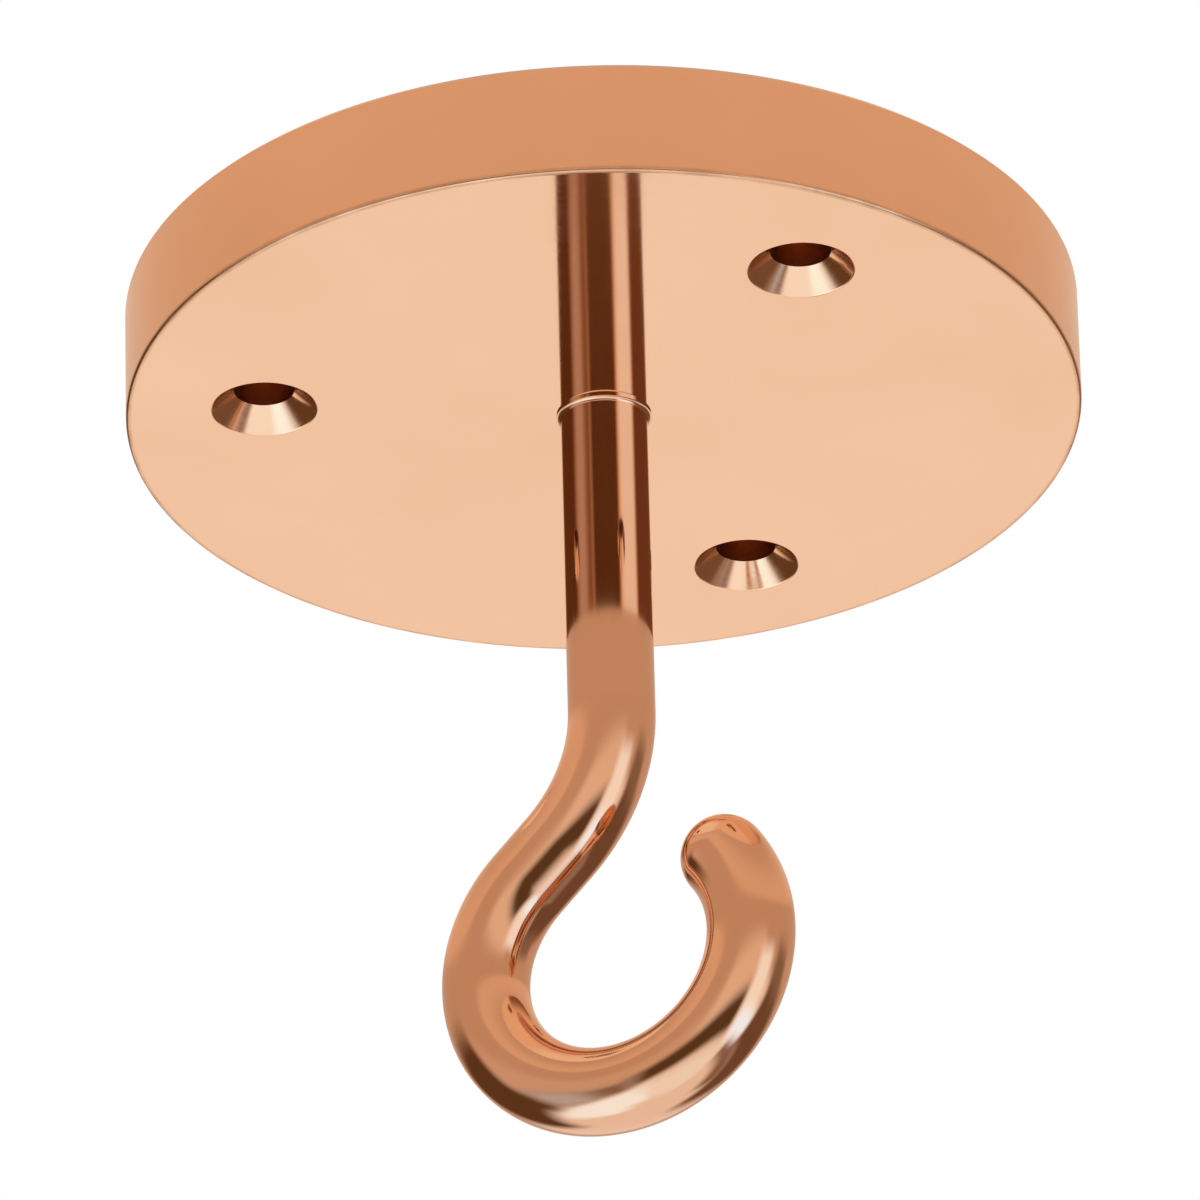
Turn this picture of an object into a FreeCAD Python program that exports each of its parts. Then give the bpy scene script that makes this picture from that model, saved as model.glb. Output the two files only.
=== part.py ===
import FreeCAD, Part
import math
import os

import Sketcher
from FreeCAD import Vector

# Ceiling hook: a solid turned plate that is screwed flat to a ceiling, and a bent round rod that is
# screwed into its centre and ends in an open loop.
#
# Frame: millimetres, +Z up. The origin is the centre of the plate's ceiling face, so the part lies
# below z = 0. The rod bends in the XZ plane, with the open side of its loop and its tip towards +X.

DRIVING_SIZES = [
    ("plate_diameter", "66", "plate, outside diameter"),
    ("plate_thickness", "8.5", "plate, ceiling face to room face"),
    ("room_edge_chamfer", "0.2", "plate, chamfer of the rim on the room side"),
    ("ceiling_edge_chamfer", "0.4", "plate, chamfer of the rim on the ceiling side"),
    ("screw_count", "3", "plate, number of screw holes"),
    ("screw_inset", "9.5", "plate, rim to the middle of each screw hole"),
    ("screw_turn", "0", "plate, turn of the first screw hole from +Y"),
    ("screw_bore", "4.2", "screw hole, diameter for the screw's shank"),
    ("sink_diameter", "7.3", "screw hole, diameter of the countersink at the room face"),
    ("sink_angle", "90", "screw hole, full angle of the countersink"),
    ("sink_edge_chamfer", "0.12", "screw hole, break of the countersink's edge"),
    ("hole_edge_chamfer", "0.3", "all holes, chamfer at the ceiling face"),
    ("rod_diameter", "6", "hook, diameter of the bar"),
    ("stem_length", "23.3", "hook, room face to the start of the first bend"),
    ("bend_radius", "12.8", "hook, centreline radius of the first bend"),
    ("slope_length", "3.3", "hook, straight length between the first bend and the loop"),
    ("loop_opening", "13.8", "hook, inside diameter of the loop"),
    ("loop_end_angle", "35", "hook, angle above the loop's centre at which the loop ends"),
    ("shoulder_fillet", "0.3", "hook, hollow radius that widens the bar into its shoulder"),
    ("shoulder_rim", "0.15", "hook, thickness of the shoulder's rim on the plate"),
    ("stud_diameter", "5", "hook, outside diameter of the threaded stud"),
    ("stud_clearance", "0.05", "radial gap between the stud and its hole"),
    ("stud_recess", "1.2", "hook, end of the stud below the ceiling face"),
    ("stud_end_chamfer", "0.6", "hook, chamfer at the end of the stud"),
]

ROD_RADIUS = "Sizes.rod_diameter / 2"
ROOM_FACE = "-Sizes.plate_thickness"
SHOULDER_RADIUS = ROD_RADIUS + " + Sizes.shoulder_fillet"
SHOULDER_HEIGHT = "Sizes.shoulder_rim + Sizes.shoulder_fillet"
SHOULDER_END = f"-Sizes.plate_thickness - ({SHOULDER_HEIGHT})"
LOOP_RADIUS = "Sizes.loop_opening / 2 + " + ROD_RADIUS
SCREW_CIRCLE_RADIUS = "Sizes.plate_diameter / 2 - Sizes.screw_inset"
STUD_HOLE_DIAMETER = "Sizes.stud_diameter + 2 * Sizes.stud_clearance"
FULL_TURN = 360
NEAR = 0.001
EDGE_BREAK_SHARE = 0.01

doc = FreeCAD.newDocument("ceiling_hook")


def make_sizes():
    """The sheet of driving dimensions, one row for each: meaning, then value."""
    sheet = doc.addObject("Spreadsheet::Sheet", "Sizes")
    for row, (alias, value, meaning) in enumerate(DRIVING_SIZES, start=1):
        sheet.set(f"A{row}", meaning)
        sheet.set(f"B{row}", value)
        sheet.setAlias(f"B{row}", alias)
    doc.recompute()
    return sheet


def new_body(label):
    """An empty body, whose label is the piece's name and names its file."""
    body = doc.addObject("PartDesign::Body", label)
    body.Label = label
    return body


def new_sketch(body, name, role, height=None):
    """A sketch on one of the body's own origin planes, raised along the plane's normal by height."""
    sketch = body.newObject("Sketcher::SketchObject", name)
    plane = next(item for item in body.Origin.OriginFeatures if item.Role == role)
    sketch.AttachmentSupport = (plane, [""])
    sketch.MapMode = "FlatFace"
    if height:
        sketch.setExpression(".AttachmentOffset.Base.z", height)
    return sketch


def constrain(sketch, kind, *where, by=None):
    """Add one constraint. A dimension takes its value from the sheet, by the expression given."""
    if by is None:
        return sketch.addConstraint(Sketcher.Constraint(kind, *where))
    start = value_of(by)
    if kind == "Angle":
        start = math.radians(start)
    index = sketch.addConstraint(Sketcher.Constraint(kind, *where, start))
    sketch.setExpression(f"Constraints[{index}]", by)
    return index


def measure(sketch, name, kind, *where):
    """Add a named reference dimension, which other objects can read from the solved sketch."""
    any_value = 1
    index = sketch.addConstraint(Sketcher.Constraint(kind, *where, any_value))
    sketch.setDriving(index, False)
    sketch.renameConstraint(index, name)


def value_of(expression):
    """The number that an expression on the sheet gives now, to start a sketch near its solution."""
    value = sizes.evalExpression(expression)
    return float(getattr(value, "Value", value))


def add_circle(sketch, diameter, away="0"):
    """A circle on the sketch's Y axis, away from the sketch's origin."""
    centre = Vector(0, value_of(away), 0)
    circle = sketch.addGeometry(Part.Circle(centre, Vector(0, 0, 1), value_of(diameter) / 2))
    if value_of(away) == 0:
        constrain(sketch, "Coincident", circle, 3, -1, 1)
    else:
        constrain(sketch, "PointOnObject", circle, 3, -2)
        constrain(sketch, "DistanceY", -1, 1, circle, 3, by=away)
    constrain(sketch, "Diameter", circle, by=diameter)


def round_edges(shape, height, diameter):
    """Names of the circular edges of one diameter that lie level at one height."""
    names = []
    for number, edge in enumerate(shape.Edges, start=1):
        curve = edge.Curve
        if not isinstance(curve, Part.Circle):
            continue
        level = abs(curve.Center.z - height) < NEAR
        if level and abs(2 * curve.Radius - diameter) < NEAR:
            names.append(f"Edge{number}")
    return names


def chamfer(body, name, edges, size):
    """A chamfer on named edges of the body's newest feature."""
    base = body.Tip
    feature = body.newObject("PartDesign::Chamfer", name)
    feature.Base = (base, edges)
    feature.setExpression("Size", size)
    doc.recompute()
    return feature


def through_hole(body, sketch, name, diameter):
    """A plain hole through the whole plate, cut upwards from the sketch at the room face."""
    hole = body.newObject("PartDesign::Hole", name)
    hole.Profile = sketch
    doc.recompute()
    hole.Threaded = False
    hole.ThreadType = "None"
    hole.DepthType = "ThroughAll"
    hole.Reversed = True
    hole.setExpression("Diameter", diameter)
    return hole


def make_plate():
    """The turned disc, with its central threaded hole and its countersunk screw holes."""
    body = new_body("ceiling_plate")
    face_z = value_of(ROOM_FACE)

    outline = new_sketch(body, "PlateOutline", "XY_Plane")
    add_circle(outline, "Sizes.plate_diameter")
    disc = body.newObject("PartDesign::Pad", "Disc")
    disc.Profile = outline
    disc.Reversed = True
    disc.setExpression("Length", "Sizes.plate_thickness")
    doc.recompute()

    plate_diameter = value_of("Sizes.plate_diameter")
    room_rim = round_edges(disc.Shape, face_z, plate_diameter)
    rim = chamfer(body, "RoomRim", room_rim, "Sizes.room_edge_chamfer")
    ceiling_rim = round_edges(rim.Shape, 0, plate_diameter)
    chamfer(body, "CeilingRim", ceiling_rim, "Sizes.ceiling_edge_chamfer")

    centre = new_sketch(body, "StudHoleCentre", "XY_Plane", ROOM_FACE)
    add_circle(centre, STUD_HOLE_DIAMETER)
    through_hole(body, centre, "StudHole", STUD_HOLE_DIAMETER)

    first = new_sketch(body, "ScrewHoleCentre", "XY_Plane", ROOM_FACE)
    add_circle(first, "Sizes.screw_bore", away=SCREW_CIRCLE_RADIUS)
    first.setExpression(".AttachmentOffset.Rotation.Angle", "Sizes.screw_turn")
    screw_hole = through_hole(body, first, "ScrewHole", "Sizes.screw_bore")
    screw_hole.HoleCutType = "Countersink"
    screw_hole.HoleCutCustomValues = True
    screw_hole.setExpression("HoleCutDiameter", "Sizes.sink_diameter")
    screw_hole.setExpression("HoleCutCountersinkAngle", "Sizes.sink_angle")
    doc.recompute()

    ring = body.newObject("PartDesign::PolarPattern", "ScrewHoles")
    ring.Originals = [screw_hole]
    ring.Axis = (first, ["N_Axis"])
    ring.Angle = FULL_TURN
    ring.setExpression("Occurrences", "Sizes.screw_count")
    body.Tip = ring
    doc.recompute()

    sinks = round_edges(ring.Shape, face_z, value_of("Sizes.sink_diameter"))
    sink_edges = chamfer(body, "SinkEdges", sinks, "Sizes.sink_edge_chamfer")
    backs = round_edges(sink_edges.Shape, 0, value_of("Sizes.screw_bore"))
    backs += round_edges(sink_edges.Shape, 0, value_of(STUD_HOLE_DIAMETER))
    chamfer(body, "HoleBacks", backs, "Sizes.hole_edge_chamfer")
    return body


def add_centreline(sketch):
    """The rod's centreline: straight stem, first bend, straight slope, then the loop up to the tip.

    The slope touches both arcs, and the loop hangs with its centre straight under the stem. The
    two centres are the ends of a right triangle's long side. Its short sides are the sum of the
    two radii and the slope's length, and that fixes how far the first bend turns.
    """
    bend_radius = value_of("Sizes.bend_radius")
    loop_radius = value_of(LOOP_RADIUS)
    slope_length = value_of("Sizes.slope_length")
    stem_top = Vector(0, value_of(SHOULDER_END), 0)
    stem_foot = Vector(0, value_of(ROOM_FACE + " - Sizes.stem_length"), 0)
    bend_centre = stem_foot - Vector(bend_radius, 0, 0)
    between = math.hypot(bend_radius + loop_radius, slope_length)
    turn = math.atan2(slope_length, bend_radius + loop_radius) - math.acos(bend_radius / between)
    outward = Vector(math.cos(turn), math.sin(turn), 0)
    downhill = Vector(math.sin(turn), -math.cos(turn), 0)
    loop_centre = bend_centre + outward * (bend_radius + loop_radius) + downhill * slope_length
    end_turn = 2 * math.pi + math.radians(value_of("Sizes.loop_end_angle"))
    end_way = Vector(math.cos(end_turn), math.sin(end_turn), 0)
    normal = Vector(0, 0, 1)

    bend_circle = Part.Circle(bend_centre, normal, bend_radius)
    loop_circle = Part.Circle(loop_centre, normal, loop_radius)
    slope_top = bend_centre + outward * bend_radius
    slope_foot = loop_centre - outward * loop_radius
    stem = sketch.addGeometry(Part.LineSegment(stem_top, stem_foot))
    bend = sketch.addGeometry(Part.ArcOfCircle(bend_circle, turn, 0))
    slope = sketch.addGeometry(Part.LineSegment(slope_top, slope_foot))
    loop = sketch.addGeometry(Part.ArcOfCircle(loop_circle, turn + math.pi, end_turn))
    to_end = Part.LineSegment(loop_centre, loop_centre + end_way * loop_radius)
    spoke = sketch.addGeometry(to_end, True)

    constrain(sketch, "PointOnObject", stem, 1, -2)
    constrain(sketch, "Vertical", stem)
    constrain(sketch, "DistanceY", stem, 1, -1, 1, by=f"-({SHOULDER_END})")
    constrain(sketch, "DistanceY", stem, 2, -1, 1, by="Sizes.plate_thickness + Sizes.stem_length")
    constrain(sketch, "Tangent", stem, 2, bend, 2)
    constrain(sketch, "Radius", bend, by="Sizes.bend_radius")
    constrain(sketch, "Tangent", bend, 1, slope, 1)
    constrain(sketch, "Tangent", slope, 2, loop, 1)
    constrain(sketch, "Distance", slope, by="Sizes.slope_length")
    constrain(sketch, "PointOnObject", loop, 3, -2)
    constrain(sketch, "Radius", loop, by=LOOP_RADIUS)
    constrain(sketch, "Coincident", spoke, 1, loop, 3)
    constrain(sketch, "Coincident", spoke, 2, loop, 2)
    constrain(sketch, "Angle", spoke, by="Sizes.loop_end_angle")
    measure(sketch, "end_across", "DistanceX", -1, 1, loop, 2)
    measure(sketch, "end_down", "DistanceY", loop, 2, -1, 1)


def add_tip_profile(sketch):
    """A quarter disc for the domed tip. Its sketch stands where the loop ends, Y along the bar."""
    rod_radius = value_of(ROD_RADIUS)
    middle = Vector(0, 0, 0)
    side = Vector(rod_radius, 0, 0)
    crown = Vector(0, rod_radius, 0)
    dome_circle = Part.Circle(middle, Vector(0, 0, 1), rod_radius)
    seat = sketch.addGeometry(Part.LineSegment(middle, side))
    dome = sketch.addGeometry(Part.ArcOfCircle(dome_circle, 0, math.pi / 2))
    axis = sketch.addGeometry(Part.LineSegment(crown, middle))

    constrain(sketch, "Coincident", seat, 1, -1, 1)
    constrain(sketch, "Coincident", dome, 3, -1, 1)
    constrain(sketch, "Coincident", seat, 2, dome, 1)
    constrain(sketch, "Coincident", dome, 2, axis, 1)
    constrain(sketch, "Coincident", axis, 2, seat, 1)
    constrain(sketch, "Horizontal", seat)
    constrain(sketch, "Vertical", axis)
    constrain(sketch, "Radius", dome, by=ROD_RADIUS)


def add_stud_profile(sketch):
    """Half of the turned end, in the XZ plane: axis, chamfered stud, seat and hollow shoulder."""
    stud_radius = "Sizes.stud_diameter / 2"
    stud_break = "Sizes.stud_end_chamfer"
    rim_corner = (SHOULDER_RADIUS, f"{ROOM_FACE} - Sizes.shoulder_rim")
    corners = [
        ("0", "-Sizes.stud_recess"),
        (f"{stud_radius} - {stud_break}", "-Sizes.stud_recess"),
        (stud_radius, f"-Sizes.stud_recess - {stud_break}"),
        (stud_radius, ROOM_FACE),
        (SHOULDER_RADIUS, ROOM_FACE),
        rim_corner,
        (ROD_RADIUS, SHOULDER_END),
        ("0", SHOULDER_END),
    ]
    points = [Vector(value_of(across), value_of(up), 0) for across, up in corners]
    count = len(points)
    hollow = corners.index(rim_corner)
    hollow_centre = Vector(points[hollow].x, points[hollow + 1].y, 0)
    hollow_circle = Part.Circle(hollow_centre, Vector(0, 0, 1), value_of("Sizes.shoulder_fillet"))
    for index in range(count):
        if index == hollow:
            sketch.addGeometry(Part.ArcOfCircle(hollow_circle, math.pi / 2, math.pi))
        else:
            sketch.addGeometry(Part.LineSegment(points[index], points[(index + 1) % count]))
    for index in range(count):
        constrain(sketch, "Coincident", index, 2, (index + 1) % count, 1)
    for index, (across, up) in enumerate(corners):
        if across == "0":
            constrain(sketch, "PointOnObject", index, 1, -2)
        else:
            constrain(sketch, "DistanceX", -1, 1, index, 1, by=across)
        constrain(sketch, "DistanceY", index, 1, -1, 1, by=f"-({up})")
    constrain(sketch, "Radius", hollow, by="Sizes.shoulder_fillet")


def make_hook():
    """The bent rod with its domed tip, and the turned stud and hollow shoulder at its upper end."""
    body = new_body("hook")

    turned = new_sketch(body, "StudProfile", "XZ_Plane")
    add_stud_profile(turned)
    stud = body.newObject("PartDesign::Revolution", "Stud")
    stud.Profile = turned
    stud.ReferenceAxis = (turned, ["V_Axis"])
    stud.Angle = FULL_TURN
    doc.recompute()

    centreline = new_sketch(body, "Centreline", "XZ_Plane")
    add_centreline(centreline)
    bar = new_sketch(body, "BarSection", "XY_Plane", SHOULDER_END)
    add_circle(bar, "Sizes.rod_diameter")
    doc.recompute()
    rod = body.newObject("PartDesign::AdditivePipe", "Rod")
    rod.Profile = bar
    rod.Spine = centreline
    doc.recompute()

    end = new_sketch(body, "TipProfile", "XZ_Plane")
    end.setExpression(".AttachmentOffset.Base.x", "Centreline.Constraints.end_across")
    end.setExpression(".AttachmentOffset.Base.y", "-Centreline.Constraints.end_down")
    end.setExpression(".AttachmentOffset.Rotation.Angle", "Sizes.loop_end_angle")
    add_tip_profile(end)
    doc.recompute()
    tip = body.newObject("PartDesign::Revolution", "DomedTip")
    tip.Profile = end
    tip.ReferenceAxis = (end, ["V_Axis"])
    tip.Angle = FULL_TURN
    return body


def check(nodes):
    """Stop if any object failed, or if a piece is not one valid solid of a sensible size."""
    for item in doc.Objects:
        failed = [word for word in item.State if word in ("Invalid", "Error")]
        if failed:
            raise RuntimeError(f"{item.Name} failed: {failed}")
    for body in nodes:
        shape = body.Shape
        if shape.isNull() or not shape.isValid() or len(shape.Solids) != 1:
            raise RuntimeError(f"{body.Label} is not one valid solid")
        box = shape.BoundBox
        print(body.Label, "volume", round(shape.Volume, 2), "box", box)


def check_cuts(plate):
    """Compare the plate with the volume that its disc and holes should leave."""
    thickness = value_of("Sizes.plate_thickness")
    bore = value_of("Sizes.screw_bore") / 2
    sink = value_of("Sizes.sink_diameter") / 2
    depth = (sink - bore) / math.tan(math.radians(value_of("Sizes.sink_angle") / 2))
    cone = math.pi * depth * (sink ** 2 + sink * bore + bore ** 2) / 3
    screw_hole = cone + math.pi * bore ** 2 * (thickness - depth)
    stud_hole = math.pi * (value_of(STUD_HOLE_DIAMETER) / 2) ** 2 * thickness
    disc = math.pi * (value_of("Sizes.plate_diameter") / 2) ** 2 * thickness
    expected = disc - stud_hole - value_of("Sizes.screw_count") * screw_hole
    missing = expected - plate.Shape.Volume
    print("edge breaks take", round(missing, 2), "cubic mm")
    if not 0 <= missing < EDGE_BREAK_SHARE * disc:
        raise RuntimeError("the plate's holes did not cut what they should")


sizes = make_sizes()
plate = make_plate()
hook = make_hook()
doc.recompute()
check([plate, hook])
check_cuts(plate)

os.makedirs("parts", exist_ok=True)
for body in (plate, hook):
    body.Shape.exportStep(os.path.join("parts", body.Label + ".step"))
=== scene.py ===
import math

import bmesh
import bpy
from mathutils import Matrix, Vector
from mathutils.geometry import tessellate_polygon


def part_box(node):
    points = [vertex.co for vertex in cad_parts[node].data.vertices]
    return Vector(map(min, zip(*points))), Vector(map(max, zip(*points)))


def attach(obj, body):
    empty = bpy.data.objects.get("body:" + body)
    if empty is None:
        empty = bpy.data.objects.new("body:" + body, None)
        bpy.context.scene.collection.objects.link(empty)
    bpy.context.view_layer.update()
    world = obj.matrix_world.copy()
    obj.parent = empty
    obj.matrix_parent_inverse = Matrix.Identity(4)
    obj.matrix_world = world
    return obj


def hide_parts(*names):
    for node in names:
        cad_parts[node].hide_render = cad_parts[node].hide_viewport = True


# Polished copper-coloured ceiling hook, seen from below. Metres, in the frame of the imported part:
# +Z up, origin at the centre of the plate's ceiling face, the bar bent in the XZ plane.

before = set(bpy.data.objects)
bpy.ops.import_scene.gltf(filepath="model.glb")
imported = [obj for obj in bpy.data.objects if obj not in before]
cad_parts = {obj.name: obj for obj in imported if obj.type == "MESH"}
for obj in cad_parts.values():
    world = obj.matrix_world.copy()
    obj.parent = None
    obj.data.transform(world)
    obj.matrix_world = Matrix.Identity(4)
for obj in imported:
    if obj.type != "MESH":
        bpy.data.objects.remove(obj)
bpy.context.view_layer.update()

MM = 0.001
TAU = 2 * math.pi
UP = Vector((0, 0, 1))
SIDEWAYS = Vector((0, 1, 0))

plate_low, plate_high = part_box("ceiling_plate")
hook_low, hook_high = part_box("hook")

# Plate
PLATE_RADIUS = plate_high.x
CEILING_Z = plate_high.z
ROOM_Z = plate_low.z
ROOM_EDGE_RADIUS = 0.22 * MM
CEILING_EDGE_CHAMFER = 0.4 * MM
SCREW_COUNT = 3
SCREW_INSET = 9.5 * MM
SCREW_CIRCLE_RADIUS = PLATE_RADIUS - SCREW_INSET
SCREW_FIRST_ANGLE = math.radians(90)
SCREW_BORE_RADIUS = 2.1 * MM
SINK_RADIUS = 3.65 * MM
SINK_LIP = 0.12 * MM
HOLE_EDGE_CHAMFER = 0.3 * MM
STUD_HOLE_RADIUS = 2.55 * MM

# Hook
BAR_RADIUS = 3.0 * MM
STEM_LENGTH = 23.3 * MM
BEND_RADIUS = 12.8 * MM
SLOPE_LENGTH = 3.3 * MM
LOOP_RADIUS = hook_high.x - BAR_RADIUS
LOOP_END_ANGLE = math.radians(35)
SHOULDER_RIM = 0.15 * MM
SHOULDER_FILLET = 0.3 * MM
SHOULDER_RADIUS = BAR_RADIUS + SHOULDER_FILLET
SHOULDER_HEIGHT = SHOULDER_RIM + SHOULDER_FILLET
STUD_RADIUS = 2.5 * MM
STUD_TOP_Z = hook_high.z
STUD_END_CHAMFER = 0.6 * MM

# Thread of the stud and of its hole, 5 mm coarse. The flat crest and the flank are shares of half a pitch.
THREAD_PITCH = 0.8 * MM
THREAD_DEPTH = 0.43 * MM
THREAD_CREST = 0.12
THREAD_FLANK = 0.7
THREAD_GAP = 0.03 * MM
THREAD_RUN_OUT = 0.9 * MM

# Fineness of the meshes
RIM_SIDES = 360
HOLE_SIDES = 96
BAR_SIDES = 96
THREAD_SIDES = 90
THREAD_RING_STEP = 0.05 * MM
ARC_STEP = math.radians(1.5)
ROUNDING_STEPS = 8
STEM_STEPS = 12
SLOPE_STEPS = 4

# The finishes of the plate and of the hook, by their places in the piece's list of materials
POLISHED, CUT, BORED, TURNED = range(4)


class Skin:
    """A mesh in the making: points, faces, the normal at each face's corners, and each face's finish.

    A point's trace says where it lies on its surface: the cosine and sine of its place round the
    section or hole, and its distance along the bar or the turned profile.
    """

    def __init__(self):
        self.points = []
        self.traces = []
        self.faces = []
        self.normals = []
        self.finishes = []

    def add(self, points, traces):
        """Add points with their traces. Returns the points' numbers."""
        first = len(self.points)
        self.points.extend(points)
        self.traces.extend(traces)
        return list(range(first, len(self.points)))

    def face(self, corners, normals, finish):
        """Add a face, with its corners in the order that makes it look the way its normals point."""
        places = [self.points[index] for index in corners]
        facing = (places[-2] - places[0]).cross(places[-1] - places[1])
        if facing.dot(sum(normals, Vector())) < 0:
            corners = corners[::-1]
            normals = normals[::-1]
        self.faces.append(corners)
        self.normals.extend(normals)
        self.finishes.append(finish)

    def strip(self, ring, normals, next_ring, next_normals, finish):
        """Quads between two rings of as many points."""
        count = len(ring)
        for here in range(count):
            after = (here + 1) % count
            corners = [ring[here], ring[after], next_ring[after], next_ring[here]]
            leans = [normals[here], normals[after], next_normals[after], next_normals[here]]
            self.face(corners, leans, finish)

    def fan(self, ring, normals, hub, hub_normal, finish):
        """Triangles from a ring to one point."""
        count = len(ring)
        for here in range(count):
            after = (here + 1) % count
            corners = [ring[here], ring[after], hub]
            self.face(corners, [normals[here], normals[after], hub_normal], finish)

    def flat(self, loops, normal, finish):
        """A flat face with an outer loop and holes in it."""
        flat_points = [[self.points[index] for index in loop] for loop in loops]
        numbers = [index for loop in loops for index in loop]
        for triangle in tessellate_polygon(flat_points):
            self.face([numbers[corner] for corner in triangle], [normal] * 3, finish)

    def build(self, name, materials):
        """Put the mesh in the scene, as an object with these finishes."""
        mesh = bpy.data.meshes.new(name)
        mesh.from_pydata(self.points, [], self.faces)
        for material in materials:
            mesh.materials.append(material)
        mesh.polygons.foreach_set("material_index", self.finishes)
        mesh.polygons.foreach_set("use_smooth", [True] * len(self.faces))
        trace = mesh.attributes.new("trace", "FLOAT_VECTOR", "POINT")
        trace.data.foreach_set("vector", [number for point in self.traces for number in point])
        mesh.update()
        mesh.normals_split_custom_set(self.normals)
        thing = bpy.data.objects.new(name, mesh)
        bpy.context.scene.collection.objects.link(thing)
        return thing


def spokes(sides):
    """Level directions all round, evenly spaced."""
    angles = [TAU * index / sides for index in range(sides)]
    return [Vector((math.cos(angle), math.sin(angle), 0)) for angle in angles]


def lathe(skin, axis, stations, around, finish, start=None):
    """Turn stations, each a radius, a height and the normal's lean above outwards, round an upright axis.

    A run that carries on from another one starts on that one's last ring. Returns all its rings.
    """
    marks = spokes(len(around))
    rings = []
    along = skin.traces[start[0]][2] if start else 0
    for number, (radius, z, lean) in enumerate(stations):
        normals = [spoke * math.cos(lean) + UP * math.sin(lean) for spoke in around]
        if number:
            along += math.hypot(radius - stations[number - 1][0], z - stations[number - 1][1])
        if start and number == 0:
            ring = start
        else:
            points = [axis + spoke * radius + UP * z for spoke in around]
            ring = skin.add(points, [(mark.x, mark.y, along) for mark in marks])
        if rings:
            skin.strip(rings[-1], last_normals, ring, normals, finish)
        rings.append(ring)
        last_normals = normals
    return rings


def smooth(share):
    """An eased step from 0 to 1 as the share goes from 0 to 1."""
    share = min(1, max(0, share))
    return share * share * (3 - 2 * share)


def groove(angle, z):
    """Depth of the thread's groove, from 0 at a crest to the full depth at a root."""
    turn = (z / THREAD_PITCH - angle / TAU) % 1
    flank = (abs(2 * turn - 1) - THREAD_CREST) / THREAD_FLANK
    run_out = smooth((z - ROOM_Z) / THREAD_RUN_OUT)
    return THREAD_DEPTH * min(1, max(0, flank)) * run_out


def stud_radius(angle, z):
    """The stud's thread runs out at the shoulder and ends in a chamfer."""
    chamfer = STUD_RADIUS - STUD_END_CHAMFER + STUD_TOP_Z - z
    return min(STUD_RADIUS - groove(angle, z), chamfer)


def hole_radius(angle, z):
    """The tapped hole follows the stud's thread a small gap away, and has a chamfered mouth on top."""
    chamfer = STUD_HOLE_RADIUS + HOLE_EDGE_CHAMFER - (CEILING_Z - z)
    return max(STUD_RADIUS + THREAD_GAP - groove(angle, z), chamfer)


def threaded(skin, radius_at, low_z, high_z, facing, finish):
    """A threaded wall that looks outwards (facing 1) or inwards (facing -1). Returns its end rings."""
    steps = round((high_z - low_z) / THREAD_RING_STEP)
    around = spokes(THREAD_SIDES)
    nudge = TAU / THREAD_SIDES / 2
    lift = THREAD_RING_STEP / 2
    rings = []
    for step in range(steps + 1):
        z = low_z + (high_z - low_z) * step / steps
        points = []
        normals = []
        for index, spoke in enumerate(around):
            angle = TAU * index / THREAD_SIDES
            radius = radius_at(angle, z)
            points.append(spoke * radius + UP * z)
            rise = (radius_at(angle, z + lift) - radius_at(angle, z - lift)) / (2 * lift)
            twist = (radius_at(angle + nudge, z) - radius_at(angle - nudge, z)) / (2 * nudge * radius)
            tangent = UP.cross(spoke)
            normals.append((spoke - UP * rise - tangent * twist).normalized() * facing)
        ring = skin.add(points, [(spoke.x, spoke.y, z) for spoke in around])
        if rings:
            skin.strip(rings[-1], last_normals, ring, normals, finish)
        rings.append(ring)
        last_normals = normals
    return rings[0], rings[-1]


def rounding(centre_radius, centre_z, radius, first_lean, last_lean):
    """Stations of a rounded edge between two leans of its normal."""
    stations = []
    for step in range(ROUNDING_STEPS + 1):
        lean = first_lean + (last_lean - first_lean) * step / ROUNDING_STEPS
        across = centre_radius + radius * math.cos(lean)
        stations.append((across, centre_z + radius * math.sin(lean), lean))
    return stations


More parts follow.
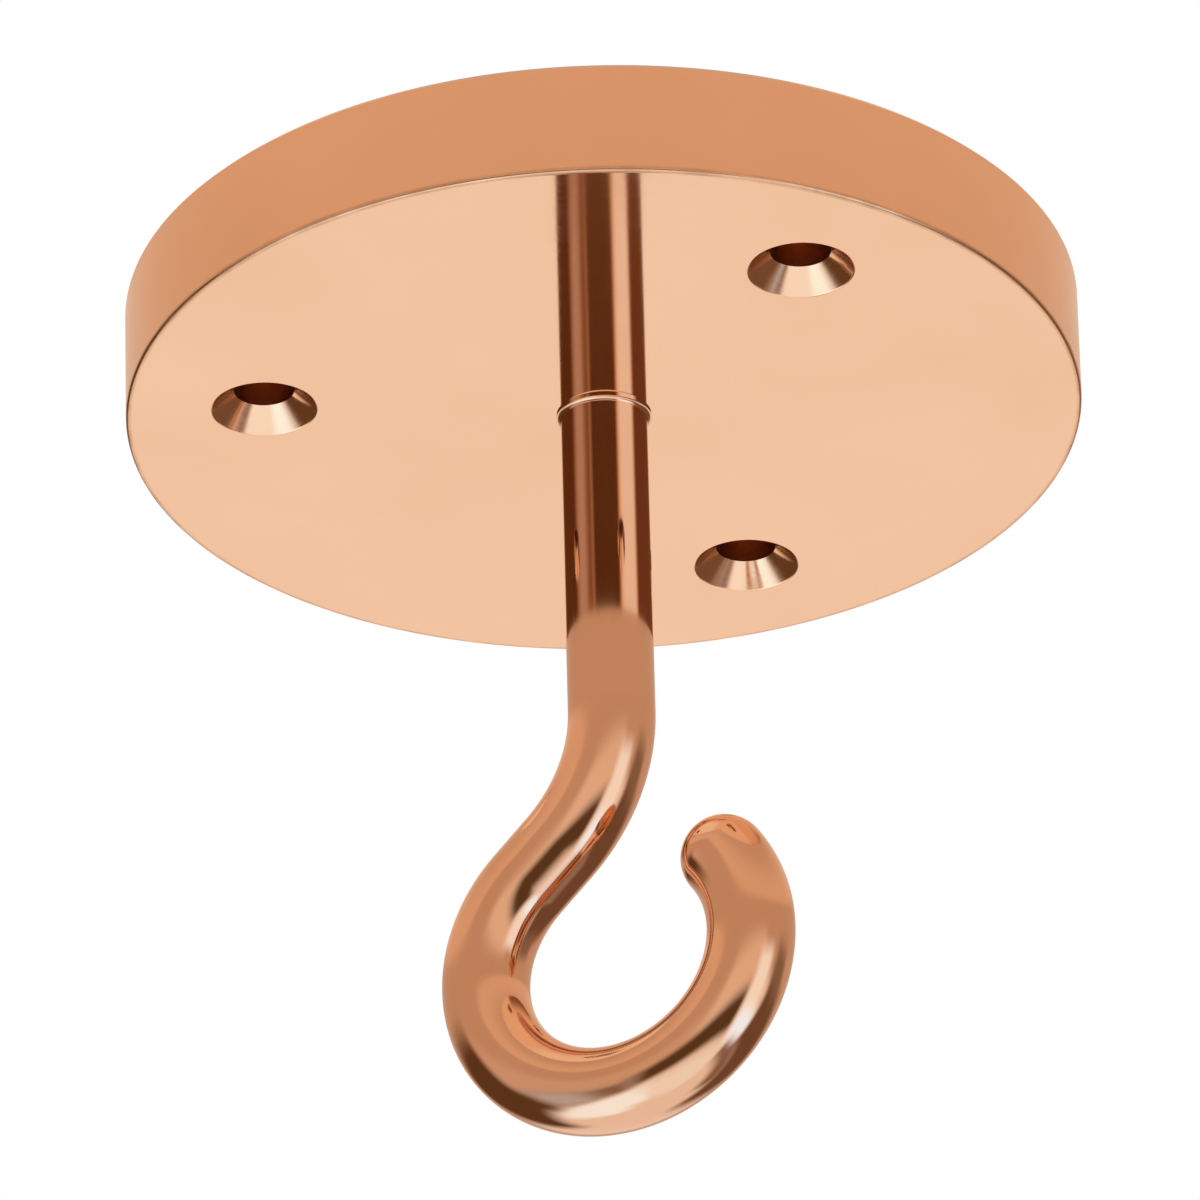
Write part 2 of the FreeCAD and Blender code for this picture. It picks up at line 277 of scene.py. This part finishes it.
def make_plate(materials):
    """The turned disc with its eased rims, its countersunk screw holes and the tapped hole."""
    skin = Skin()
    straight = math.pi
    right = straight / 2
    diagonal = right / 2

    edge_centre_radius = PLATE_RADIUS - ROOM_EDGE_RADIUS
    edge_centre_z = ROOM_Z + ROOM_EDGE_RADIUS
    room_edge = rounding(edge_centre_radius, edge_centre_z, ROOM_EDGE_RADIUS, -right, 0)
    wall_top = CEILING_Z - CEILING_EDGE_CHAMFER
    wall = [*room_edge, (PLATE_RADIUS, wall_top, 0)]
    rim_around = spokes(RIM_SIDES)
    wall_rings = lathe(skin, Vector(), wall, rim_around, POLISHED)
    back_edge = [
        (PLATE_RADIUS, wall_top, diagonal),
        (PLATE_RADIUS - CEILING_EDGE_CHAMFER, CEILING_Z, diagonal),
    ]
    back_rings = lathe(skin, Vector(), back_edge, rim_around, CUT, start=wall_rings[-1])
    room_loops = [wall_rings[0]]
    ceiling_loops = [back_rings[-1]]

    lip_radius = SINK_LIP / math.tan(diagonal / 2)
    cone_lean = -right - diagonal
    lip = rounding(SINK_RADIUS + SINK_LIP, ROOM_Z + lip_radius, lip_radius, -right, cone_lean)
    cone_top = ROOM_Z + SINK_RADIUS - SCREW_BORE_RADIUS
    bore_top = CEILING_Z - HOLE_EDGE_CHAMFER
    cone = [(lip[-1][0], lip[-1][1], cone_lean), (SCREW_BORE_RADIUS, cone_top, cone_lean)]
    bore = [(SCREW_BORE_RADIUS, cone_top, straight), (SCREW_BORE_RADIUS, bore_top, straight)]
    mouth_lean = straight - diagonal
    mouth = [
        (SCREW_BORE_RADIUS, bore_top, mouth_lean),
        (SCREW_BORE_RADIUS + HOLE_EDGE_CHAMFER, CEILING_Z, mouth_lean),
    ]
    hole_around = spokes(HOLE_SIDES)
    for number in range(SCREW_COUNT):
        angle = SCREW_FIRST_ANGLE + TAU * number / SCREW_COUNT
        axis = Vector((math.cos(angle), math.sin(angle), 0)) * SCREW_CIRCLE_RADIUS
        lip_rings = lathe(skin, axis, lip, hole_around, CUT)
        rings = lathe(skin, axis, cone, hole_around, CUT, start=lip_rings[-1])
        rings = lathe(skin, axis, bore, hole_around, BORED, start=rings[-1])
        rings = lathe(skin, axis, mouth, hole_around, CUT, start=rings[-1])
        room_loops.append(lip_rings[0])
        ceiling_loops.append(rings[-1])

    low, high = threaded(skin, hole_radius, ROOM_Z, CEILING_Z, -1, BORED)
    room_loops.append(low)
    ceiling_loops.append(high)
    skin.flat(room_loops, -UP, POLISHED)
    skin.flat(ceiling_loops, UP, TURNED)
    return skin.build("ceiling_plate_finished", materials)


def in_plane(angle):
    """A direction in the hook's own plane, at an angle above +X."""
    return Vector((math.cos(angle), 0, math.sin(angle)))


def centreline():
    """Places on the bar's centreline from the shoulder to the loop's end, each with its direction."""
    reach = BEND_RADIUS + LOOP_RADIUS
    turn = math.atan2(SLOPE_LENGTH, reach) - math.acos(BEND_RADIUS / math.hypot(reach, SLOPE_LENGTH))
    outward = in_plane(turn)
    downhill = in_plane(turn - math.pi / 2)
    stem_top = UP * (ROOM_Z - SHOULDER_HEIGHT)
    stem_foot = UP * (ROOM_Z - STEM_LENGTH)
    bend_centre = stem_foot - in_plane(0) * BEND_RADIUS
    slope_top = bend_centre + outward * BEND_RADIUS
    loop_centre = bend_centre + outward * reach + downhill * SLOPE_LENGTH

    stations = []
    for step in range(STEM_STEPS):
        stations.append((stem_top.lerp(stem_foot, step / STEM_STEPS), -UP))
    bend_steps = math.ceil(-turn / ARC_STEP)
    for step in range(bend_steps):
        angle = turn * step / bend_steps
        stations.append((bend_centre + in_plane(angle) * BEND_RADIUS, in_plane(angle - math.pi / 2)))
    for step in range(SLOPE_STEPS):
        stations.append((slope_top + downhill * SLOPE_LENGTH * step / SLOPE_STEPS, downhill))
    first = turn + math.pi
    last = TAU + LOOP_END_ANGLE
    loop_steps = math.ceil((last - first) / ARC_STEP)
    for step in range(loop_steps + 1):
        angle = first + (last - first) * step / loop_steps
        stations.append((loop_centre + in_plane(angle) * LOOP_RADIUS, in_plane(angle + math.pi / 2)))
    return stations


def section(direction):
    """Outward directions round the bar, square to its own direction."""
    across = SIDEWAYS.cross(direction)
    return [across * spoke.x + SIDEWAYS * spoke.y for spoke in spokes(BAR_SIDES)]


def bar_ring(skin, place, outwards, radius, along):
    """Add a ring of points round a place on the centreline. Returns the points' numbers."""
    traces = [(spoke.x, spoke.y, along) for spoke in spokes(BAR_SIDES)]
    return skin.add([place + outward * radius for outward in outwards], traces)


def make_hook(materials):
    """The bent bar with its domed tip, its hollow shoulder and its threaded stud."""
    skin = Skin()
    last_outwards = section(-UP)
    rim_z = ROOM_Z - SHOULDER_RIM
    rim = [(SHOULDER_RADIUS, ROOM_Z, 0), (SHOULDER_RADIUS, rim_z, 0)]
    rim_rings = lathe(skin, Vector(), rim, last_outwards, POLISHED)
    hollow = rounding(SHOULDER_RADIUS, rim_z - SHOULDER_FILLET, -SHOULDER_FILLET, -math.pi / 2, 0)
    shoulder_rings = lathe(skin, Vector(), hollow, last_outwards, POLISHED, start=rim_rings[-1])

    ring = shoulder_rings[-1]
    along = skin.traces[ring[0]][2]
    stations = centreline()
    before = stations[0][0]
    for place, direction in stations[1:]:
        along += (place - before).length
        before = place
        outwards = section(direction)
        next_ring = bar_ring(skin, place, outwards, BAR_RADIUS, along)
        skin.strip(ring, last_outwards, next_ring, outwards, POLISHED)
        ring = next_ring
        last_outwards = outwards

    dome_steps = BAR_SIDES // 4
    normals = last_outwards
    for step in range(1, dome_steps):
        lean = math.pi / 2 * step / dome_steps
        centre = place + direction * BAR_RADIUS * math.sin(lean)
        radius = BAR_RADIUS * math.cos(lean)
        next_ring = bar_ring(skin, centre, outwards, radius, along + BAR_RADIUS * lean)
        next_normals = [outward * math.cos(lean) + direction * math.sin(lean) for outward in outwards]
        skin.strip(ring, normals, next_ring, next_normals, POLISHED)
        ring = next_ring
        normals = next_normals
    dome_length = BAR_RADIUS * math.pi / 2
    hub = skin.add([place + direction * BAR_RADIUS], [(0, 0, along + dome_length)])[0]
    skin.fan(ring, normals, hub, direction, POLISHED)

    low, high = threaded(skin, stud_radius, ROOM_Z, STUD_TOP_Z, 1, CUT)
    skin.flat([rim_rings[0], low], UP, CUT)
    end_middle = skin.add([UP * STUD_TOP_Z], [(0, 0, STUD_TOP_Z)])[0]
    skin.fan(high, [UP] * len(high), end_middle, UP, CUT)
    return skin.build("hook_finished", materials)


# The photograph's view: a long lens from below, with a slight roll
PHOTO_PIXELS = 1200
CAMERA_AZIMUTH = math.radians(24.5)
CAMERA_ELEVATION = math.radians(-30.1)
CAMERA_DISTANCE = 1.0
CAMERA_ROLL = math.radians(1.5)
PIXELS_PER_METRE = 14480
FACE_CENTRE_PIXEL = (604, 417)


def make_camera():
    """Place the camera so that the middle of the room face lies where the photograph has it."""
    level = math.cos(CAMERA_ELEVATION)
    back = Vector((
        math.sin(CAMERA_AZIMUTH) * level,
        -math.cos(CAMERA_AZIMUTH) * level,
        math.sin(CAMERA_ELEVATION),
    ))
    right = Vector((math.cos(CAMERA_AZIMUTH), math.sin(CAMERA_AZIMUTH), 0))
    roll = Matrix.Rotation(CAMERA_ROLL, 3, -back)
    right = roll @ right
    up = back.cross(right)
    face_centre = UP * ROOM_Z
    across = (FACE_CENTRE_PIXEL[0] - PHOTO_PIXELS / 2) / PIXELS_PER_METRE
    above = (PHOTO_PIXELS / 2 - FACE_CENTRE_PIXEL[1]) / PIXELS_PER_METRE
    place = face_centre + back * CAMERA_DISTANCE
    backwards = (place - (face_centre - right * across - up * above)).normalized()
    side = up.cross(backwards).normalized()
    data = bpy.data.cameras.new("photo_camera")
    data.lens = data.sensor_width * PIXELS_PER_METRE * CAMERA_DISTANCE / PHOTO_PIXELS
    camera = bpy.data.objects.new("photo_camera", data)
    axes = Matrix((side, backwards.cross(side), backwards)).transposed()
    camera.matrix_world = Matrix.Translation(place) @ axes.to_4x4()
    bpy.context.scene.collection.objects.link(camera)
    bpy.context.scene.camera = camera


# The studio tent's cloths, which only the metal mirrors: soft areas of light and shade, in degrees.
# Each has its name, its middle (round from the camera's side to its right, and above level), half its
# width, half its height, half its soft edge sideways and upwards, and its colour as linear light.
# A later area hides the earlier ones. Between them the tent is open, and the metal mirrors the white
# background.
TENT_RADIUS = 1.9
TENT_CENTRE_Z = -0.03
TENT_SUBDIVISIONS = 5
STUDIO_AREAS = [
    ("low_glow", 0, -64, 60, 18, 15, 10, (1.08, 1.25, 1.4)),
    ("low_light", -78, -60, 44, 17, 12, 8, (1.16, 1.62, 2.04)),
    ("lower_walls", 0, 20, 200, 26, 8, 8, (0.65, 0.47, 0.36)),
    ("upper_walls", 0, 61, 200, 30, 8, 2.5, (0.85, 0.62, 0.46)),
    ("high_walls", 0, 90, 200, 43, 8, 13, (0.66, 0.48, 0.37)),
    ("left_side", -55, -4, 38, 14, 8, 8, (0.74, 0.57, 0.46)),
    ("wall_glow", 12, 3, 32, 12, 8, 8, (0.92, 0.78, 0.66)),
    ("shaded_left", -70, -28, 32, 12, 7, 7, (0.3, 0.21, 0.15)),
    ("dark_front", -2, -23, 36, 13, 7, 7, (0.12, 0.07, 0.03)),
    ("dark_left", -124, -14, 33, 26, 8, 8, (0.13, 0.07, 0.03)),
    ("left_gleam", -70, -28, 14, 12, 10, 7, (0.6, 0.66, 0.8)),
    ("dark_right", 120, -20, 38, 22, 8, 8, (0.19, 0.11, 0.07)),
    ("dark_edge", 98, 3, 16, 10, 8, 8, (0.28, 0.2, 0.15)),
    ("below_right", 95, -47, 38, 8, 7, 7, (0.3, 0.2, 0.15)),
    ("window", 53, -12, 15, 20, 8, 7, (1.15, 1.35, 1.55)),
    ("window_foot", 60, -33, 19, 9, 7, 7, (1.12, 1.75, 2.6)),
    ("overhead", 0, 90, 200, 20, 12, 12, (0.95, 0.9, 0.86)),
]


# Nearly all of a noise lies between these two values
NOISE_LOW = 0.25
NOISE_HIGH = 0.75


class Graph:
    """Short calls for the nodes of a shader."""

    def __init__(self, tree):
        self.tree = tree

    def node(self, kind, **settings):
        made = self.tree.nodes.new(kind)
        for name, value in settings.items():
            setattr(made, name, value)
        return made

    def put(self, source, socket):
        """Link a socket to another one, or set it to a plain value."""
        if isinstance(source, bpy.types.NodeSocket):
            self.tree.links.new(source, socket)
        else:
            socket.default_value = source

    def math(self, operation, *values):
        made = self.node("ShaderNodeMath", operation=operation)
        for value, socket in zip(values, made.inputs):
            self.put(value, socket)
        return made.outputs[0]

    def ramp(self, value, low, high):
        """A smooth step from 0 at low to 1 at high, which may be the smaller one."""
        made = self.node("ShaderNodeMapRange", interpolation_type="SMOOTHSTEP")
        self.put(value, made.inputs["Value"])
        made.inputs["From Min"].default_value = low
        made.inputs["From Max"].default_value = high
        return made.outputs["Result"]

    def span(self, value, low, high):
        """Spread a noise from low to high."""
        made = self.node("ShaderNodeMapRange")
        self.put(value, made.inputs["Value"])
        made.inputs["From Min"].default_value = NOISE_LOW
        made.inputs["From Max"].default_value = NOISE_HIGH
        made.inputs["To Min"].default_value = low
        made.inputs["To Max"].default_value = high
        return made.outputs["Result"]

    def mix(self, share, first, second):
        made = self.node("ShaderNodeMix", data_type="RGBA")
        self.put(share, made.inputs["Factor"])
        colours = [socket for socket in made.inputs if socket.type == "RGBA"]
        for colour, socket in zip((first, second), colours):
            self.put(colour, socket)
        return next(socket for socket in made.outputs if socket.type == "RGBA")

    def light(self, colour):
        """A surface that gives light of one colour."""
        made = self.node("ShaderNodeEmission")
        made.inputs["Color"].default_value = (*colour, 1)
        return made.outputs[0]

    def mix_shader(self, share, first, second):
        made = self.node("ShaderNodeMixShader")
        for source, socket in zip((share, first, second), made.inputs):
            self.put(source, socket)
        return made.outputs[0]

    def surface(self, shader):
        self.put(shader, self.tree.nodes["Material Output"].inputs["Surface"])

    def vector(self, operation, *values):
        """Vector arithmetic. Scale takes a number second, and length gives one."""
        made = self.node("ShaderNodeVectorMath", operation=operation)
        self.put(values[0], made.inputs[0])
        if len(values) > 1:
            self.put(values[1], made.inputs["Scale" if operation == "SCALE" else 1])
        return made.outputs["Value" if operation == "LENGTH" else "Vector"]

    def noise(self, place, per_metre, detail):
        made = self.node("ShaderNodeTexNoise")
        self.put(place, made.inputs["Vector"])
        made.inputs["Scale"].default_value = per_metre
        made.inputs["Detail"].default_value = detail
        return made.outputs[0]

    def grain(self, around, along, round_scale, per_metre, detail):
        """Noise drawn out round a surface, or along it, by the two scales."""
        lift = self.node("ShaderNodeCombineXYZ")
        self.put(self.math("MULTIPLY", along, per_metre), lift.inputs["Z"])
        place = self.vector("ADD", self.vector("SCALE", around, round_scale), lift.outputs[0])
        return self.noise(place, 1, detail)

    def relief(self, *layers):
        """A bumped normal from layers, each a noise and its depth in metres."""
        normal = None
        for height, depth in layers:
            made = self.node("ShaderNodeBump")
            made.inputs["Distance"].default_value = depth
            self.put(height, made.inputs["Height"])
            if normal:
                self.put(normal, made.inputs["Normal"])
            normal = made.outputs["Normal"]
        return normal


class Metal(Graph):
    """A bare copper-coloured surface, whose colour, roughness and relief are set from nodes."""

    def __init__(self, name):
        self.material = bpy.data.materials.new(name)
        self.material.use_nodes = True
        super().__init__(self.material.node_tree)
        self.shader = self.tree.nodes["Principled BSDF"]
        self.shader.inputs["Metallic"].default_value = 1
        self.place = self.node("ShaderNodeTexCoord").outputs["Object"]

    def traced(self):
        """The way round the section and the distance along the piece, from the mesh's own traces."""
        trace = self.node("ShaderNodeAttribute", attribute_name="trace").outputs["Vector"]
        parts = self.node("ShaderNodeSeparateXYZ")
        self.put(trace, parts.inputs[0])
        around = self.node("ShaderNodeCombineXYZ")
        self.put(parts.outputs["X"], around.inputs["X"])
        self.put(parts.outputs["Y"], around.inputs["Y"])
        return around.outputs[0], parts.outputs["Z"]

    def turned(self):
        """The way round the plate's axis, and the distance out across its face and back up its wall."""
        flat = self.vector("MULTIPLY", self.place, (1, 1, 0))
        parts = self.node("ShaderNodeSeparateXYZ")
        self.put(self.place, parts.inputs[0])
        along = self.math("SUBTRACT", self.vector("LENGTH", flat), parts.outputs["Z"])
        return self.vector("NORMALIZE", flat), along

    def finish(self, colour, roughness, normal):
        self.put(colour, self.shader.inputs["Base Color"])
        self.put(roughness, self.shader.inputs["Roughness"])
        self.put(normal, self.shader.inputs["Normal"])
        return self.material


# Linear colours of the metal: the disc and the bar fresh and slightly toned, the bar where a ring rubs
# it, the disc's rim, darker partly from wear and partly as painted shade that dims its mirrored highlight,
# and the walls of the holes, dark as painted shade for their insides
DISC_COPPER = (0.89, 0.54, 0.34, 1)
DISC_TONED = (0.865, 0.51, 0.31, 1)
BAR_COPPER = (0.81, 0.47, 0.3, 1)
BAR_TONED = (0.78, 0.44, 0.27, 1)
WORN_COPPER = (0.9, 0.6, 0.42, 1)
RIM_WEAR_AND_SHADE_COPPER = (0.62, 0.32, 0.17, 1)
DRILLED_SHADED_COPPER = (0.54, 0.22, 0.08, 1)
DRILLED_DEEPER_SHADED_COPPER = (0.34, 0.12, 0.04, 1)
MICRON = 0.000001

# How far the wear and painted shade on the disc's rim and the wear on the bar reach, where they are full,
# and what they do
RIM_WEAR_AND_SHADE_REACH = 0.45 * MM
RIM_WEAR_AND_SHADE_FULL = 0.2 * MM
RIM_WEAR_ROUGHNESS = 0.35
RUB_REACH = 3.5 * MM
RUB_FULL = 1 * MM
RUB_ROUGHNESS = 0.08
RUB_COLOUR_SHARE = 0.5


def polished_disc():
    """Mirror polish on the turned disc, with faint rings from the buffing wheel.

    Soft clouds lie in its shine, and handling has dulled and toned its rim in patches; the darker rim
    colour is also painted shade that dims the rim's mirrored highlight.
    """
    metal = Metal("polished_disc")
    around, along = metal.turned()
    clouds = metal.noise(metal.place, per_metre=70, detail=3)
    rings = metal.grain(around, along, round_scale=2.5, per_metre=7000, detail=3)
    hairlines = metal.grain(around, along, round_scale=9, per_metre=16000, detail=1)
    waves = metal.noise(metal.place, per_metre=160, detail=1)
    rim = PLATE_RADIUS - ROOM_Z
    from_rim = metal.math("ABSOLUTE", metal.math("SUBTRACT", along, rim))
    blotches = metal.grain(around, along, round_scale=14, per_metre=900, detail=3)
    patches = metal.span(blotches, 0.25, 1)
    rim_wear_and_shade = metal.math("MULTIPLY", metal.ramp(from_rim, RIM_WEAR_AND_SHADE_REACH, RIM_WEAR_AND_SHADE_FULL), patches)
    toned = metal.mix(metal.span(clouds, 0, 1), DISC_COPPER, DISC_TONED)
    # The darker rim is partly wear and partly painted shade that dims the rim's mirrored highlight.
    colour = metal.mix(rim_wear_and_shade, toned, RIM_WEAR_AND_SHADE_COPPER)
    roughness = metal.math("ADD", metal.span(clouds, 0.04, 0.075), metal.span(rings, -0.012, 0.02))
    roughness = metal.math("ADD", roughness, metal.math("MULTIPLY", rim_wear_and_shade, RIM_WEAR_ROUGHNESS))
    normal = metal.relief((waves, 3 * MICRON), (rings, 0.25 * MICRON), (hairlines, 0.08 * MICRON))
    return metal.finish(colour, roughness, normal)


def polished_bar():
    """Mirror polish on the drawn bar: faint draw lines along it, dulled a little where a ring rubs."""
    metal = Metal("polished_bar")
    around, along = metal.traced()
    clouds = metal.noise(metal.place, per_metre=120, detail=3)
    draw_lines = metal.grain(around, along, round_scale=34, per_metre=260, detail=3)
    hairlines = metal.grain(around, along, round_scale=110, per_metre=500, detail=1)
    waves = metal.noise(metal.place, per_metre=220, detail=1)
    seat = (0, 0, hook_low.z + 2 * BAR_RADIUS)
    from_seat = metal.vector("LENGTH", metal.vector("SUBTRACT", metal.place, seat))
    blotches = metal.grain(around, along, round_scale=60, per_metre=700, detail=2)
    patches = metal.span(blotches, 0.1, 1)
    rubbed = metal.math("MULTIPLY", metal.ramp(from_seat, RUB_REACH, RUB_FULL), patches)
    toned = metal.mix(metal.span(clouds, 0, 1), BAR_COPPER, BAR_TONED)
    colour = metal.mix(metal.math("MULTIPLY", rubbed, RUB_COLOUR_SHARE), toned, WORN_COPPER)
    roughness = metal.math("ADD", metal.span(clouds, 0.055, 0.09), metal.span(draw_lines, -0.015, 0.025))
    roughness = metal.math("ADD", roughness, metal.math("MULTIPLY", rubbed, RUB_ROUGHNESS))
    normal = metal.relief((waves, 2 * MICRON), (draw_lines, 0.3 * MICRON), (hairlines, 0.08 * MICRON))
    return metal.finish(colour, roughness, normal)


def cut(name, fresh, toned):
    """What the tool left: fine rings round a countersink, a chamfer or a thread's flanks."""
    metal = Metal(name)
    around, along = metal.traced()
    clouds = metal.noise(metal.place, per_metre=300, detail=2)
    rings = metal.grain(around, along, round_scale=1.2, per_metre=11000, detail=2)
    chatter = metal.grain(around, along, round_scale=9, per_metre=1200, detail=1)
    colour = metal.mix(metal.span(clouds, 0, 1), fresh, toned)
    roughness = metal.math("ADD", metal.span(clouds, 0.09, 0.15), metal.span(rings, -0.03, 0.05))
    normal = metal.relief((chatter, 1.5 * MICRON), (rings, 1 * MICRON))
    return metal.finish(colour, roughness, normal)


def drilled_shaded():
    """Rough walls of the screw holes and the tapped hole, with the drill's spiral marks; their dark brown
    is painted shade for the dark insides of the holes.
    """
    metal = Metal("drilled_shaded")
    around, along = metal.traced()
    clouds = metal.noise(metal.place, per_metre=500, detail=3)
    marks = metal.grain(around, along, round_scale=1.5, per_metre=7000, detail=2)
    # The dark brown of the hole walls is painted shade for the dark insides of the holes.
    colour = metal.mix(metal.span(clouds, 0, 1), DRILLED_SHADED_COPPER, DRILLED_DEEPER_SHADED_COPPER)
    roughness = metal.math("ADD", metal.span(clouds, 0.28, 0.42), metal.span(marks, -0.06, 0.08))
    return metal.finish(colour, roughness, metal.relief((marks, 4 * MICRON)))


def turned_face():
    """The lathe's grooves on the ceiling face, which is left unpolished."""
    metal = Metal("turned_face")
    around, along = metal.turned()
    clouds = metal.noise(metal.place, per_metre=60, detail=3)
    grooves = metal.grain(around, along, round_scale=0.12, per_metre=5200, detail=2)
    broad = metal.grain(around, along, round_scale=0.2, per_metre=700, detail=2)
    scuffs = metal.noise(metal.place, per_metre=900, detail=3)
    colour = metal.mix(metal.span(broad, 0, 1), DISC_COPPER, DISC_TONED)
    colour = metal.mix(metal.span(clouds, 0, 0.5), colour, BAR_TONED)
    roughness = metal.math("ADD", metal.span(clouds, 0.2, 0.28), metal.span(grooves, -0.05, 0.06))
    normal = metal.relief((grooves, 2.5 * MICRON), (broad, 3 * MICRON), (scuffs, 0.6 * MICRON))
    return metal.finish(colour, roughness, normal)


FLOOR_Z = -2.0
FLOOR_SIZE = 30.0
FLOOR_COLOUR = (0.9, 0.9, 0.9, 1)
FLOOR_ROUGHNESS = 0.8
WHITE = (1, 1, 1)


def stage_piece(name, mesh):
    """Put a mesh of the studio in the scene, with a material of its own. Returns both."""
    thing = bpy.data.objects.new(name, mesh)
    bpy.context.scene.collection.objects.link(thing)
    material = bpy.data.materials.new(name)
    material.use_nodes = True
    # Both surfaces are so large that mirrored rays find them without their being sampled as lamps
    material.cycles.emission_sampling = "NONE"
    mesh.materials.append(material)
    return thing, material


def make_floor():
    """A plain pale floor far below, which the camera and all that is mirrored see as white."""
    half = FLOOR_SIZE / 2
    sides = ((-half, -half), (half, -half), (half, half), (-half, half))
    mesh = bpy.data.meshes.new("floor")
    mesh.from_pydata([(x, y, FLOOR_Z) for x, y in sides], [], [(0, 1, 2, 3)])
    _, material = stage_piece("floor", mesh)
    graph = Graph(material.node_tree)
    shader = graph.tree.nodes["Principled BSDF"]
    shader.inputs["Base Color"].default_value = FLOOR_COLOUR
    shader.inputs["Roughness"].default_value = FLOOR_ROUGHNESS
    rays = graph.node("ShaderNodeLightPath").outputs
    seen = graph.math("MAXIMUM", rays["Is Camera Ray"], rays["Is Glossy Ray"])
    seen = graph.math("MAXIMUM", seen, rays["Is Transmission Ray"])
    graph.surface(graph.mix_shader(seen, shader.outputs[0], graph.light(WHITE)))


def make_tent():
    """The studio tent round the object. The camera looks through it, and the metal mirrors its cloths."""
    shape = bmesh.new()
    bmesh.ops.create_icosphere(shape, subdivisions=TENT_SUBDIVISIONS, radius=TENT_RADIUS)
    mesh = bpy.data.meshes.new("studio_tent")
    shape.to_mesh(mesh)
    shape.free()
    tent, material = stage_piece("studio_tent", mesh)
    tent.location.z = TENT_CENTRE_Z
    tent.visible_camera = False
    graph = Graph(material.node_tree)
    direction = graph.vector("NORMALIZE", graph.node("ShaderNodeTexCoord").outputs["Object"])
    parts = graph.node("ShaderNodeSeparateXYZ")
    graph.put(direction, parts.inputs[0])
    elevation = graph.math("ARCSINE", parts.outputs["Z"])
    cloth = graph.node("ShaderNodeBsdfTransparent").outputs[0]
    for name, azimuth, height, half_width, half_height, side_edge, up_edge, light in STUDIO_AREAS:
        turned = graph.node("ShaderNodeVectorRotate", rotation_type="Z_AXIS")
        graph.put(direction, turned.inputs["Vector"])
        turned.inputs["Angle"].default_value = math.pi / 2 - CAMERA_AZIMUTH - math.radians(azimuth)
        level = graph.node("ShaderNodeSeparateXYZ")
        graph.put(turned.outputs[0], level.inputs[0])
        sideways = graph.math("ABSOLUTE", graph.math("ARCTAN2", level.outputs["Y"], level.outputs["X"]))
        upwards = graph.math("ABSOLUTE", graph.math("SUBTRACT", elevation, math.radians(height)))
        inside = []
        for away, half, edge in ((sideways, half_width, side_edge), (upwards, half_height, up_edge)):
            inside.append(graph.ramp(away, math.radians(half + edge), math.radians(half - edge)))
        cloth = graph.mix_shader(graph.math("MULTIPLY", *inside), cloth, graph.light(light))
        cloth.node.label = name
    graph.surface(cloth)


def make_world():
    """Plain white light from all round, which is the background too."""
    world = bpy.data.worlds.new("studio")
    bpy.context.scene.world = world
    world.use_nodes = True
    world.node_tree.nodes["Background"].inputs["Color"].default_value = (*WHITE, 1)


make_camera()
make_world()
make_floor()
make_tent()
plate = make_plate([polished_disc(), cut("cut_disc", DISC_COPPER, DISC_TONED), drilled_shaded(), turned_face()])
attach(plate, "root")
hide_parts("ceiling_plate")
hook = make_hook([polished_bar(), cut("cut_bar", BAR_COPPER, BAR_TONED)])
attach(hook, "root")
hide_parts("hook")

bpy.context.scene.view_settings.view_transform = "Standard"
